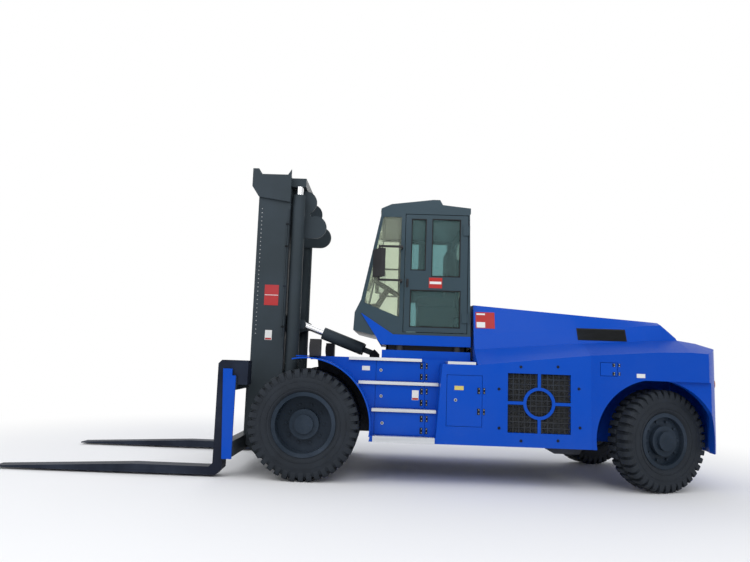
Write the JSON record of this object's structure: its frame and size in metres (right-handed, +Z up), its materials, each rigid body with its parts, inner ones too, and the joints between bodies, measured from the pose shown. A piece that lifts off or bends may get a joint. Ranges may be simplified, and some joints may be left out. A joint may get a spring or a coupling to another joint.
{
  "type": "electric forklift",
  "caption": "Heavy electric counterbalance forklift with a cab, stepped side access, a two-stage mast, long forks, twin drive wheels and steered rear wheels.",
  "frame": {"origin": "on the ground under the middle of the whole truck, forks included", "axes": "+X towards the fork tips, +Y to the operator's left, +Z up; the ground is z = 0"},
  "size_m": [8.17, 2.6518, 3.69],
  "materials": {
    "body_paint": "gloss",
    "cab_paint": "satin",
    "mast_paint": "satin",
    "frame_paint": "satin",
    "fork_paint": "satin",
    "rim_paint": "satin",
    "tyre": "matte",
    "tread_plate": "brushed",
    "rod_chrome": "polished",
    "chain_steel": "oiled",
    "casting": "painted gloss",
    "window": "clear",
    "seat_fabric": "woven",
    "dark_plastic": "grained",
    "rubber": "matte",
    "lamp_housing": "satin",
    "battery_case": "satin"
  },
  "bodies": {
    "chassis": {"main_frame": "frame_paint", "deck": "frame_paint", "front_axle": "frame_paint", "rear_axle": "frame_paint", "stair_boxes": "body_paint", "step_treads": "tread_plate", "body_sides": "body_paint", "grille_mesh": "frame_paint", "counterweight": "casting", "hood": "body_paint", "battery_block": "battery_case", "belly_pan": "frame_paint", "cab_base": "body_paint", "cab_plinth": "body_paint", "cab_shell": "cab_paint", "cab_glass": "window", "cab_roof": "cab_paint", "cab_mounts": "rubber", "seat_base": "dark_plastic", "seat_pads": "seat_fabric", "steering_console": "dark_plastic", "mirrors": "dark_plastic", "head_lamps": "lamp_housing"},
    "wheels_front_left": {"front_tyres_left": "tyre", "front_rims_left": "rim_paint"},
    "wheels_front_right": {"front_tyres_right": "tyre", "front_rims_right": "rim_paint"},
    "knuckle_left": {"knuckle_left": "frame_paint"},
    "wheel_rear_left": {"rear_tyre_left": "tyre", "rear_rim_left": "rim_paint"},
    "knuckle_right": {"knuckle_right": "frame_paint"},
    "wheel_rear_right": {"rear_tyre_right": "tyre", "rear_rim_right": "rim_paint"},
    "mast_outer": {"outer_mast": "mast_paint", "lift_barrels": "mast_paint"},
    "mast_inner": {"inner_mast": "mast_paint", "lift_rods": "rod_chrome", "lift_chains": "chain_steel"},
    "carriage": {"carriage": "mast_paint", "carriage_end_plates": "body_paint"},
    "fork_left": {"fork_left": "fork_paint"},
    "fork_right": {"fork_right": "fork_paint"},
    "tilt_barrel_left": {"tilt_barrel_left": "mast_paint"},
    "tilt_rod_left": {"tilt_rod_left": "rod_chrome"},
    "tilt_barrel_right": {"tilt_barrel_right": "mast_paint"},
    "tilt_rod_right": {"tilt_rod_right": "rod_chrome"},
    "cab_door_left": {"cab_door_left": "cab_paint", "door_glass_left": "window"},
    "cab_door_right": {"cab_door_right": "cab_paint", "door_glass_right": "window"},
    "service_door_left": {"service_door_left": "body_paint"},
    "service_door_right": {"service_door_right": "body_paint"},
    "tier_door_1_left": {"tier_door_1_left": "body_paint"},
    "tier_door_1_right": {"tier_door_1_right": "body_paint"},
    "tier_door_2_left": {"tier_door_2_left": "body_paint"},
    "tier_door_2_right": {"tier_door_2_right": "body_paint"},
    "tier_door_3_left": {"tier_door_3_left": "body_paint"},
    "tier_door_3_right": {"tier_door_3_right": "body_paint"},
    "charging_flap": {"charging_flap": "body_paint"}
  },
  "joints": [
    {"name": "wheels_front_left_spin", "type": "hinge", "parent": "chassis", "child": "wheels_front_left", "pos_m": [0.64, 1.122, 0.6125], "axis": [0, 1, 0], "continuous": true},
    {"name": "wheels_front_right_spin", "type": "hinge", "parent": "chassis", "child": "wheels_front_right", "pos_m": [0.64, -1.122, 0.6125], "axis": [0, 1, 0], "continuous": true},
    {"name": "steer_left", "type": "hinge", "parent": "chassis", "child": "knuckle_left", "pos_m": [-3.24, 0.76, 0.5625], "axis": [0, 0, 1], "range_deg": [-80, 40]},
    {"name": "wheel_rear_left_spin", "type": "hinge", "parent": "knuckle_left", "child": "wheel_rear_left", "pos_m": [-3.24, 0.76, 0.5625], "axis": [-0.342, 0.9397, 0], "continuous": true},
    {"name": "steer_right", "type": "hinge", "parent": "chassis", "child": "knuckle_right", "pos_m": [-3.24, -0.76, 0.5625], "axis": [0, 0, 1], "range_deg": [-80, 40]},
    {"name": "wheel_rear_right_spin", "type": "hinge", "parent": "knuckle_right", "child": "wheel_rear_right", "pos_m": [-3.24, -0.76, 0.5625], "axis": [-0.342, 0.9397, 0], "continuous": true},
    {"name": "mast_tilt", "type": "hinge", "parent": "chassis", "child": "mast_outer", "pos_m": [0.84, 0, 0.45], "axis": [0, 1, 0], "range_deg": [-10, 6]},
    {"name": "mast_lift", "type": "slide", "parent": "mast_outer", "child": "mast_inner", "axis": [0, 0, 1], "range_m": [0, 1.6]},
    {"name": "carriage_lift", "type": "slide", "parent": "mast_inner", "child": "carriage", "axis": [0, 0, 1], "range_m": [0, 1.6]},
    {"name": "fork_left_shift", "type": "slide", "parent": "carriage", "child": "fork_left", "axis": [0, 1, 0], "range_m": [-0.355, 0]},
    {"name": "fork_right_shift", "type": "slide", "parent": "carriage", "child": "fork_right", "axis": [0, 1, 0], "range_m": [0, 0.355]},
    {"name": "tilt_barrel_left_swing", "type": "hinge", "parent": "chassis", "child": "tilt_barrel_left", "pos_m": [-0.1, 0.3, 1.42], "axis": [0, 1, 0], "range_deg": [-4.4, 2.7]},
    {"name": "tilt_rod_left_reach", "type": "slide", "parent": "tilt_barrel_left", "child": "tilt_rod_left", "axis": [0.9392, 0, 0.3434], "range_m": [-0.218, 0.131]},
    {"name": "tilt_barrel_right_swing", "type": "hinge", "parent": "chassis", "child": "tilt_barrel_right", "pos_m": [-0.1, -0.3, 1.42], "axis": [0, 1, 0], "range_deg": [-4.4, 2.7]},
    {"name": "tilt_rod_right_reach", "type": "slide", "parent": "tilt_barrel_right", "child": "tilt_rod_right", "axis": [0.9392, 0, 0.3434], "range_m": [-0.218, 0.131]},
    {"name": "cab_door_left_hinge", "type": "hinge", "parent": "chassis", "child": "cab_door_left", "pos_m": [-1.193, 0.863, 2.39], "axis": [0, 0, 1], "range_deg": [0, 95]},
    {"name": "cab_door_right_hinge", "type": "hinge", "parent": "chassis", "child": "cab_door_right", "pos_m": [-1.193, -0.863, 2.39], "axis": [0, 0, -1], "range_deg": [0, 95]},
    {"name": "service_door_left_hinge", "type": "hinge", "parent": "chassis", "child": "service_door_left", "pos_m": [-1.308, 1.238, 0.935], "axis": [0, 0, 1], "range_deg": [0, 90]},
    {"name": "service_door_right_hinge", "type": "hinge", "parent": "chassis", "child": "service_door_right", "pos_m": [-1.308, -1.238, 0.935], "axis": [0, 0, -1], "range_deg": [0, 90]},
    {"name": "tier_door_1_left_hinge", "type": "hinge", "parent": "chassis", "child": "tier_door_1_left", "pos_m": [-0.69, 1.128, 0.652], "axis": [0, 0, 1], "range_deg": [0, 90]},
    {"name": "tier_door_1_right_hinge", "type": "hinge", "parent": "chassis", "child": "tier_door_1_right", "pos_m": [-0.69, -1.128, 0.652], "axis": [0, 0, -1], "range_deg": [0, 90]},
    {"name": "tier_door_2_left_hinge", "type": "hinge", "parent": "chassis", "child": "tier_door_2_left", "pos_m": [-0.69, 1.018, 0.9445], "axis": [0, 0, 1], "range_deg": [0, 90]},
    {"name": "tier_door_2_right_hinge", "type": "hinge", "parent": "chassis", "child": "tier_door_2_right", "pos_m": [-0.69, -1.018, 0.9445], "axis": [0, 0, -1], "range_deg": [0, 90]},
    {"name": "tier_door_3_left_hinge", "type": "hinge", "parent": "chassis", "child": "tier_door_3_left", "pos_m": [-0.69, 0.908, 1.2255], "axis": [0, 0, 1], "range_deg": [0, 90]},
    {"name": "tier_door_3_right_hinge", "type": "hinge", "parent": "chassis", "child": "tier_door_3_right", "pos_m": [-0.69, -0.908, 1.2255], "axis": [0, 0, -1], "range_deg": [0, 90]},
    {"name": "charging_flap_hinge", "type": "hinge", "parent": "chassis", "child": "charging_flap", "pos_m": [-2.788, 1.238, 1.332], "axis": [0, 0, 1], "range_deg": [0, 90]}
  ],
  "couplings": [
    {"joint": "steer_right", "follows": "steer_left", "ratio": 1},
    {"joint": "carriage_lift", "follows": "mast_lift", "ratio": 1},
    {"joint": "tilt_barrel_left_swing", "follows": "mast_tilt", "ratio": 0.43},
    {"joint": "tilt_rod_left_reach", "follows": "mast_tilt", "m_per_rad": 1.24},
    {"joint": "tilt_barrel_right_swing", "follows": "mast_tilt", "ratio": 0.43},
    {"joint": "tilt_rod_right_reach", "follows": "mast_tilt", "m_per_rad": 1.24}
  ]
}
